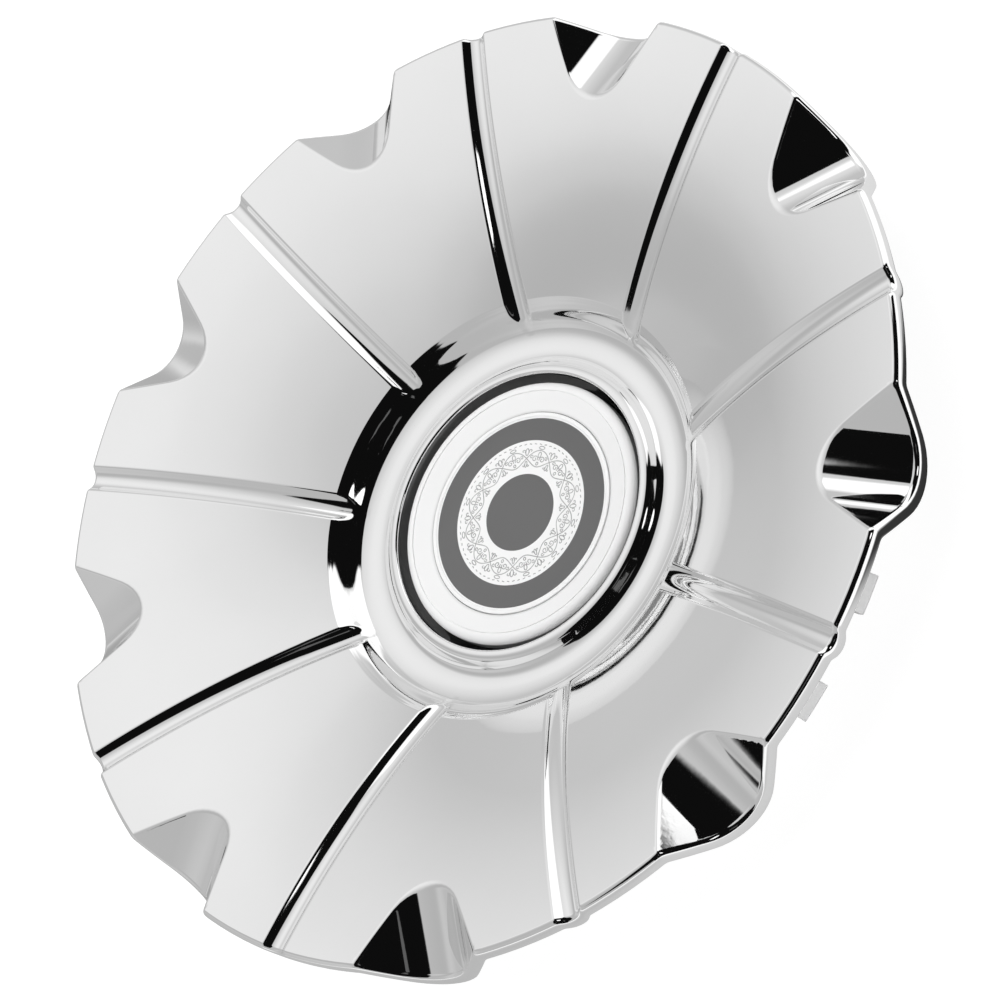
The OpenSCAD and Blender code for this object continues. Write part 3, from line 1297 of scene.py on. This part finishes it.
@dataclass
class RoundBadge:
    """The badge: a lip, and a printed field with a ring of scrolls.

    The lip's points are radii past its inside or short of the badge's edge, and heights
    past the field or short of the lip's top.
    """

    radius: float = 27.4
    seat_z: float = 4.6
    field_z: float = 5.9
    lip_z: float = 6.2
    lip_in: float = 26.2
    mid_r: float = 8.0
    lip_inside: tuple[Flat, ...] = ((-0.1, 0.0), (0.0, 0.05))
    lip_rise: tuple[Flat, ...] = ((0.15, 0.06), (0.35, 0.0))
    lip_outside: tuple[Flat, ...] = ((0.35, 0.0), (0.1, 0.08), (0.0, 0.25))

    def build(self) -> bpy.types.Object:
        """Build the badge's disc with its raised lip.

        Returns:
            The object.
        """
        profile = [(0.0, self.field_z), (self.mid_r, self.field_z)]
        profile += [(self.lip_in + r, self.field_z + z) for r, z in self.lip_inside]
        profile += [(self.lip_in + r, self.lip_z - z) for r, z in self.lip_rise]
        profile += [(self.radius - r, self.lip_z - z) for r, z in self.lip_outside]
        profile += [(self.radius, self.seat_z), (0.0, self.seat_z)]
        return revolve(profile, "badge_disc")

    def dress(self) -> bpy.types.Object:
        """Build the badge with its printed white and grey."""
        face = BadgeFinish("badge_print_face", (0.88, 0.9), (0.4, 0.5))
        return dress_piece(self.build(), [face], Finish.BADGE, "badge")


@dataclass(frozen=True)
class Curl:
    """One curved line of the print: part of an ellipse, or a spiral where it shrinks.

    Its middle lies along the ring from the repeat's middle, or from the repeat's far end,
    and above or below the ring's middle. Its angles are in degrees, and its end is its
    size at the last point, as a share of the first.
    """

    along: float
    above: float
    half_w: float
    half_h: float
    first: float
    last: float
    steps: int
    end: float = 1.0
    at_far_end: bool = False


@dataclass
class ScrollPrint:
    """The fine grey lines on the badge: two crossing waves with scrolls and leaves."""

    repeats: int = 12
    middle_r: float = 14.75
    sway: float = 2.25
    wave_steps: int = 12
    face_z: float = 5.9
    height: float = 0.02
    line_w: float = 0.25
    curls: tuple[Curl, ...] = (
        Curl(1.2, -0.15, 0.95, 0.95, 200.0, -280.0, 26, 0.2),
        Curl(0.0, 1.05, 0.42, 0.75, -90.0, 90.0, 10),
        Curl(0.0, -1.35, 0.36, 0.42, -90.0, 90.0, 8),
        Curl(2.35, 0.35, 0.5, 0.5, 150.0, -200.0, 16, 0.3),
        Curl(0.0, 1.75, 0.42, 0.95, 90.0, 270.0, 12, at_far_end=True),
        Curl(0.0, -1.6, 0.36, 0.85, 90.0, 270.0, 12, at_far_end=True),
        Curl(-1.0, 2.05, 0.55, 0.5, -60.0, 260.0, 16, 0.3, True),
        Curl(-0.85, -1.95, 0.42, 0.4, 60.0, -240.0, 14, 0.3, True),
        Curl(0.0, 3.0, 0.75, 0.4, -90.0, 90.0, 8))
    dashes: int = 3
    dash_half: float = 0.3
    dash_above: Flat = (3.85, 4.0)

    def half_repeat(self) -> float:
        """Return the length of half a repeat along the ring's middle."""
        return math.pi * self.middle_r / self.repeats

    def curl_line(self, curl: Curl) -> list[Flat]:
        """Return the points of a curl.

        Args:
            curl: The curl.

        Returns:
            Points as distance along the ring and radius.
        """
        middle = curl.along + (self.half_repeat() if curl.at_far_end else 0.0)
        points = []
        for i in range(curl.steps + 1):
            angle = math.radians(curl.first + (curl.last - curl.first) * i / curl.steps)
            scale = 1.0 + (curl.end - 1.0) * i / curl.steps
            points.append((middle + scale * curl.half_w * math.cos(angle),
                           self.middle_r + curl.above + scale * curl.half_h * math.sin(angle)))
        return points

    def motif(self) -> list[list[Flat]]:
        """Return the lines of one repeat, on one side of its middle.

        Returns:
            Each line's points, as distance along the ring and radius.
        """
        half, mid = self.half_repeat(), self.middle_r
        lines = []
        for way in (1.0, -1.0):
            lines.append([(half * i / self.wave_steps,
                           mid + way * self.sway * math.cos(math.pi / 2.0 * i
                                                            / self.wave_steps))
                          for i in range(self.wave_steps + 1)])
        lines += [self.curl_line(curl) for curl in self.curls]
        for i in range(self.dashes):
            along = half * (i + 0.5) / self.dashes
            lines.append([(along - self.dash_half, mid + self.dash_above[0]),
                          (along + self.dash_half, mid + self.dash_above[1])])
        return lines

    def add_line(self, bm: bmesh.types.BMesh, line: list[Flat], repeat: int,
                 side: float) -> None:
        """Add one line of the print as a narrow strip.

        Args:
            bm: Mesh that gets the strip.
            line: Its points, as distance along the ring and radius.
            repeat: Number of the repeat that it belongs to.
            side: 1 or -1 for the two sides of the repeat's middle.
        """
        base = math.tau * repeat / self.repeats
        points = []
        for along, radius in line:
            angle = base + side * along / self.middle_r
            points.append(Vector((radius * math.cos(angle), radius * math.sin(angle))))

        def place(column: int, row: int) -> Point:
            """Place a vertex of the strip.

            Args:
                column: 0 or 1 for its two edges.
                row: Number of the line's point.

            Returns:
                The place, half the line's width beside the point.
            """
            way = (points[min(row + 1, len(points) - 1)] - points[max(row - 1, 0)]).normalized()
            off = (column - 0.5) * self.line_w
            at = points[row] + Vector((-way.y, way.x)) * off
            return at.x, at.y, self.face_z - self.height

        mapped_grid(bm, 1, len(points) - 1, place)

    def build(self) -> bpy.types.Object:
        """Build all lines as one piece, let into the badge's face.

        Returns:
            The object.
        """
        bm = bmesh.new()
        for repeat in range(self.repeats):
            for side in (1.0, -1.0):
                for line in self.motif():
                    self.add_line(bm, line, repeat, side)
        raised = bmesh.ops.extrude_face_region(bm, geom=bm.faces[:])["geom"]
        verts = [v for v in raised if isinstance(v, bmesh.types.BMVert)]
        bmesh.ops.translate(bm, verts=verts, vec=(0.0, 0.0, 2.0 * self.height))
        return finish_mesh(bm, "badge_print")

    def dress(self) -> bpy.types.Object:
        """Build the print in grey ink."""
        ink = SurfaceFinish("grey_ink", (0.3, 0.46), (0.45, 0.55), scale=900.0)
        return dress_piece(self.build(), [ink], Finish.BADGE, "badge")


@dataclass
class StudioTone:
    """The studio's tones over the cap, as display values.

    Places are on a ceiling one unit above the cap: towards runs to the camera's side and
    across to the camera's right. A curve's two ends stand first in its points. The bank's
    lean is towards over across. Pairs of bounds run from outside a thing to inside it.
    """

    span: float = 3.6
    rise: tuple[Flat, ...] = (
        (-3.6, 0.77), (3.6, 0.8), (-2.4, 0.755), (-1.7, 0.77), (-1.35, 0.755),
        (-1.0, 0.69), (-0.75, 0.7), (-0.5, 0.79), (-0.25, 0.885), (0.0, 0.912),
        (0.3, 0.915), (0.8, 0.885), (1.4, 0.85))
    side_stop: float = 1.2
    side: tuple[Flat, ...] = (
        (-3.6, 0.3), (1.2, 0.0), (-3.0, 0.33), (-2.0, 0.51), (-1.2, 0.77), (-0.65, 1.0),
        (-0.3, 0.86), (0.0, 0.53), (0.25, 0.28))
    base: float = 0.698
    bank_tone: float = 1.03
    bank_start: Flat = (0.88, 1.02)
    bank_least_across: float = 0.2
    bank_leans: tuple[Flat, Flat] = ((-0.52, -0.4), (0.24, 0.16))
    dark_tone: float = 0.08
    dark_edge: Flat = (-0.03, 0.04)
    dark_scale: float = 4.0
    dark_bounds: tuple[Flat, ...] = (
        (-3.6, 3.9), (3.6, 0.775), (-2.33, 2.9), (-1.93, 2.0), (-1.55, 1.2), (-1.35, 0.8),
        (-1.1, 0.65), (-0.8, 0.5), (-0.55, 0.325), (-0.35, 0.275), (0.0, 0.29), (0.3, 0.24),
        (0.5, 0.08), (0.7, 0.0), (0.9, 0.15), (1.2, 0.275), (2.0, 0.45))
    dim_tone: float = 0.36
    dim_scale: float = 2.6
    dim_shape: Flat = (0.5, 0.56)
    dim_depth: tuple[Flat, Flat] = ((1.1, 1.2), (1.9, 1.8))
    dim_side: Flat = (0.35, 0.3)
    lamp_turn: float = math.radians(-36.5)
    lamp_out: float = 2.1
    lamp_half: Flat = (0.75, 0.24)
    lamp_edge: Flat = (1.1, 0.85)
    lamp_tone: float = 1.1

    def soft_light(self, n: Nodes, towards: Input, across: Input) -> bpy.types.NodeSocket:
        """Return the wide light, which changes along both ways.

        Args:
            n: Tree that gets the nodes.
            towards: Place to the camera's side.
            across: Place to the camera's right.

        Returns:
            The tone.
        """
        rise = n.curve(across, -self.span, self.span, self.rise)
        side = n.curve(towards, -self.span, self.side_stop, self.side)
        return n.blend(self.base, rise, side)

    def bank(self, n: Nodes, towards: Input, across: Input) -> bpy.types.NodeSocket:
        """Return where the bright bank on the camera's right is.

        Args:
            n: Tree that gets the nodes.
            towards: Place to the camera's side.
            across: Place to the camera's right.

        Returns:
            1 on the bank and 0 off it.
        """
        least = n.math("MAXIMUM", across, self.bank_least_across)
        lean = n.math("DIVIDE", towards, least)
        width = n.math("MULTIPLY", *[n.step(lean, *bounds) for bounds in self.bank_leans])
        return n.math("MULTIPLY", n.step(across, *self.bank_start), width)

    def dark_side(self, n: Nodes, towards: Input, across: Input) -> bpy.types.NodeSocket:
        """Return where the dark end of the studio behind the camera is.

        Args:
            n: Tree that gets the nodes.
            towards: Place to the camera's side.
            across: Place to the camera's right.

        Returns:
            1 in the dark and 0 outside it.
        """
        bounds = tuple((at, out / self.dark_scale) for at, out in self.dark_bounds)
        bound = n.curve(across, -self.span, self.span, bounds)
        past = n.math("SUBTRACT", towards, n.math("MULTIPLY", bound, self.dark_scale))
        return n.step(past, *self.dark_edge)

    def dim_things(self, n: Nodes, place: bpy.types.NodeSocket, towards: Input,
                   across: Input) -> bpy.types.NodeSocket:
        """Return the dim shapes that stand in the dark end.

        Args:
            n: Tree that gets the nodes.
            place: Both parts of the place as a vector.
            towards: Place to the camera's side.
            across: Place to the camera's right.

        Returns:
            Their tone, 0 beside them.
        """
        shape = n.add("ShaderNodeTexNoise", noise_dimensions="2D")
        n.join(place, shape.inputs["Vector"])
        n.join(self.dim_scale, shape.inputs["Scale"])
        depth = n.math("MULTIPLY", *[n.step(towards, *bounds) for bounds in self.dim_depth])
        side = n.step(n.math("ABSOLUTE", across), *self.dim_side)
        tone = n.step(shape.outputs[0], *self.dim_shape, 0.0, self.dim_tone)
        return n.math("MULTIPLY", n.math("MULTIPLY", depth, side), tone)

    def far_lamp(self, n: Nodes, place: bpy.types.NodeSocket) -> bpy.types.NodeSocket:
        """Return the long lamp in the dark end.

        Args:
            n: Tree that gets the nodes.
            place: Both parts of the place as a vector.

        Returns:
            Its tone, 0 beside it.
        """
        parts = n.split(n.turned(place, self.lamp_turn))
        out = n.math("DIVIDE", n.math("SUBTRACT", parts[0], self.lamp_out), self.lamp_half[0])
        side = n.math("DIVIDE", parts[1], self.lamp_half[1])
        ellipse = n.math("ADD", n.math("POWER", out, 2.0), n.math("POWER", side, 2.0))
        return n.step(ellipse, *self.lamp_edge, 0.0, self.lamp_tone)

    def build(self) -> bpy.types.NodeTree:
        """Make the group that gives the studio's tone over the cap.

        Returns:
            The group, with the inputs Towards and Across and the output Tone.
        """
        tree = new_group("studio_tone", {"Towards": 0.0, "Across": 0.0}, "Tone")
        n = Nodes(tree)
        towards, across = n.add("NodeGroupInput").outputs[:2]
        place = n.add("ShaderNodeCombineXYZ")
        n.join(towards, place.inputs[0])
        n.join(across, place.inputs[1])
        place = place.outputs[0]
        tone = self.soft_light(n, towards, across)
        tone = n.blend(tone, self.bank_tone, self.bank(n, towards, across))
        tone = n.blend(tone, self.dark_tone, self.dark_side(n, towards, across))
        tone = n.math("MAXIMUM", tone, self.dim_things(n, place, towards, across))
        tone = n.math("MAXIMUM", tone, self.far_lamp(n, place))
        n.join(tone, n.add("NodeGroupOutput").inputs[0])
        return tree


@dataclass
class Studio:
    """Camera, floor and the soft light around the cap, in metres.

    The floor's ramps are its tones in the cap's mirror, with a painted shadow close to the cap:
    two bounds and the tones at them.
    Behind and reach run outwards from the wheel's axis, front towards the camera, and left,
    dark and right from the camera's left to its right.
    """

    eye: Point = (-0.44554, -0.12204, 0.53181)
    aim: tuple[float, float, float, float] = (-0.36387756, -0.35331493, 0.0472247, 0.8605414)
    lens: float = 98.46
    sensor_w: float = 36.0
    ceiling: float = 0.85
    gain: float = 1.037
    display_power: float = 2.2
    lowest_way: float = 0.28
    floor_size: float = 6.0
    floor_gap: float = 0.0004
    floor_paint: float = 0.24
    floor_shown: float = 0.89
    floor_glossy: float = 0.92
    floor_behind: Ramp = (0.3, 0.6, 0.58, 0.4)
    floor_front: Flat = (-0.12, 0.0)
    floor_front_tone: float = 0.9
    floor_left: Ramp = (-0.13, -0.05, 0.45, 0.58)
    floor_dark: Ramp = (0.024, 0.05, 1.0, 0.03)
    floor_right: Ramp = (0.1, 0.118, 0.0, 0.66)
    floor_reach: float = 0.166
    floor_reach_stop: Ramp = (0.0, 0.04, 0.44, 0.196)
    ceiling_span: float = 3.3

    def add_camera(self) -> None:
        """Place the camera at the photograph's viewing angle."""
        data = bpy.data.cameras.new("camera")
        data.lens = self.lens
        data.sensor_width = self.sensor_w
        data.sensor_fit = "HORIZONTAL"
        camera = bpy.data.objects.new("camera", data)
        camera.matrix_world = (Matrix.Translation(self.eye)
                               @ Quaternion(self.aim).to_matrix().to_4x4())
        bpy.context.scene.collection.objects.link(camera)
        bpy.context.scene.camera = camera

    def lit(self, n: Nodes, way: bpy.types.NodeSocket,
            depth: float | None = None) -> bpy.types.NodeSocket:
        """Return the light that comes from a place or a direction of the studio.

        Args:
            n: Tree that gets the nodes.
            way: Place or direction in the frame's axes.
            depth: Height of the place, or None for a direction.

        Returns:
            The strength of the light there.
        """
        parts = n.split(n.turned(way, -math.atan2(self.eye[1], self.eye[0])))
        if depth is None:
            depth = n.math("MAXIMUM", parts[2], self.lowest_way)
        tone = n.add("ShaderNodeGroup", node_tree=bpy.data.node_groups["studio_tone"])
        n.join(n.math("DIVIDE", parts[0], depth), tone.inputs["Towards"])
        n.join(n.math("DIVIDE", parts[1], depth), tone.inputs["Across"])
        level = n.math("MULTIPLY", tone.outputs[0], self.gain)
        return n.math("POWER", level, self.display_power)

    def add_world(self) -> None:
        """Make the world: the studio's walls, and plain white to the camera."""
        StudioTone().build()
        world = bpy.data.worlds.new("studio")
        world.use_nodes = True
        bpy.context.scene.world = world
        n = Nodes(world.node_tree)
        level = self.lit(n, n.add("ShaderNodeTexCoord").outputs["Generated"])
        shown = n.add("ShaderNodeMix", data_type="FLOAT")
        n.join(n.add("ShaderNodeLightPath").outputs["Is Camera Ray"], shown.inputs["Factor"])
        n.join(level, shown.inputs["A"])
        n.join(1.0, shown.inputs["B"])
        light = n.add("ShaderNodeBackground")
        n.join((1.0, 1.0, 1.0, 1.0), light.inputs["Color"])
        n.join(shown.outputs["Result"], light.inputs["Strength"])
        n.join(light.outputs[0], n.add("ShaderNodeOutputWorld").inputs[0])

    def add_panel(self, name: str, size: float, height: float,
                  finish: str) -> tuple[bpy.types.Object, Nodes]:
        """Add a level square panel to the stage, with an empty material.

        Args:
            name: Name of the panel.
            size: Half its width.
            height: Its height over the cap's lowest face.
            finish: Name of its material.

        Returns:
            The panel and the nodes of its material.
        """
        bm = bmesh.new()
        bmesh.ops.create_grid(bm, x_segments=1, y_segments=1, size=size)
        bmesh.ops.translate(bm, verts=bm.verts[:], vec=(0.0, 0.0, height))
        mesh = bpy.data.meshes.new(name)
        bm.to_mesh(mesh)
        bm.free()
        panel = bpy.data.objects.new(name, mesh)
        bpy.context.scene.collection.objects.link(panel)
        material = bpy.data.materials.new(finish)
        material.use_nodes = True
        mesh.materials.append(material)
        return panel, Nodes(material.node_tree)

    def add_ceiling(self) -> None:
        """Hang the wide soft light over the cap, out of the camera's sight."""
        reach = self.ceiling_span * self.ceiling
        panel, n = self.add_panel("light_ceiling", reach, self.ceiling, "light_cloth")
        panel.visible_camera = False
        glow = n.add("ShaderNodeEmission")
        n.join(self.lit(n, n.place(), self.ceiling), glow.inputs["Strength"])
        n.join(glow.outputs[0], n.add("ShaderNodeOutputMaterial").inputs[0])

    def mirrored_floor(self, n: Nodes) -> bpy.types.NodeSocket:
        """Return the floor's light in the cap's mirror, which changes around the cap.

        Behind the cap it is grey. Close to the cap it is darker than further out, a painted
        shadow of the cap, and it is darkest beside the scoop on the camera's right.

        Args:
            n: Tree that gets the nodes.

        Returns:
            The strength of the light.
        """
        spot = n.place()
        length = n.add("ShaderNodeVectorMath", operation="LENGTH")
        n.join(spot, length.inputs[0])
        reach = length.outputs["Value"]
        to_eye = Vector((self.eye[0], self.eye[1], 0.0)).normalized()
        ahead = n.along(spot, to_eye)
        aside = n.along(spot, Vector((-to_eye.y, to_eye.x, 0.0)))
        behind = n.step(reach, *self.floor_behind)
        bright = n.step(ahead, *self.floor_front, behind, self.floor_front_tone)
        foot = n.math("MULTIPLY", n.step(aside, *self.floor_left),
                      n.step(aside, *self.floor_dark))
        foot = n.math("ADD", foot, n.step(aside, *self.floor_right))
        away = n.step(reach, self.floor_reach, n.step(aside, *self.floor_reach_stop))
        return n.math("MULTIPLY", bright, n.blend(foot, 1.0, away))

    def add_floor(self) -> None:
        """Add the plain pale floor, which keeps the cap's shadow."""
        _, n = self.add_panel("floor", self.floor_size, -self.floor_gap, "floor_white")
        # The floor's glow to glossy rays carries a painted shadow of the cap close to it.
        clear = self.mirrored_floor(n)
        seen = n.add("ShaderNodeLightPath").outputs
        near = n.math("MULTIPLY", seen["Is Glossy Ray"],
                      n.math("SUBTRACT", self.floor_glossy, clear))
        paint = n.add("ShaderNodeBsdfDiffuse")
        n.join(n.math("MULTIPLY", self.floor_paint, n.math("SUBTRACT", 1.0, near)),
               paint.inputs["Color"])
        glow = n.add("ShaderNodeEmission")
        n.join(n.math("ADD", n.math("MULTIPLY", seen["Is Camera Ray"], self.floor_shown),
                      n.math("MULTIPLY", seen["Is Glossy Ray"], clear)),
               glow.inputs["Strength"])
        both = n.add("ShaderNodeAddShader")
        n.join(paint.outputs[0], both.inputs[0])
        n.join(glow.outputs[0], both.inputs[1])
        n.join(both.outputs[0], n.add("ShaderNodeOutputMaterial").inputs[0])

    def add_lamp(self, name: str, place: Point, size: float, power: float) -> None:
        """Add a wide soft lamp that lights the matt surfaces and no chrome.

        Args:
            name: Name of the lamp.
            place: Where it hangs; it faces the cap.
            size: Diameter of its disc.
            power: Power in watts.
        """
        data = bpy.data.lights.new(name, "AREA")
        data.shape = "DISK"
        data.size = size
        data.energy = power
        lamp = bpy.data.objects.new(name, data)
        lamp.location = place
        lamp.rotation_euler = Vector(place).to_track_quat("Z", "Y").to_euler()
        lamp.visible_glossy = False
        bpy.context.scene.collection.objects.link(lamp)

    def build(self) -> None:
        """Set up the camera, the surroundings and the lamps."""
        self.add_camera()
        self.add_world()
        self.add_ceiling()
        self.add_floor()
        self.add_lamp("top_lamp", (0.1, 0.0, 0.8), 0.9, 4.2)
        self.add_lamp("front_lamp", (-0.95, -0.26, 0.3), 0.7, 5.0)


def main() -> None:
    """Build the scene."""
    logging.basicConfig(level=logging.INFO, format="%(name)s: %(message)s")
    bpy.context.scene.view_settings.view_transform = "Standard"
    mottle_group()
    for part in (ChromeMoulding(), SatinInsert(), RoundBadge(), ScrollPrint()):
        piece = part.dress()
        LOG.info("%s: %d faces", piece.name, len(piece.data.polygons))
    Studio().build()


if __name__ == "__main__":
    main()
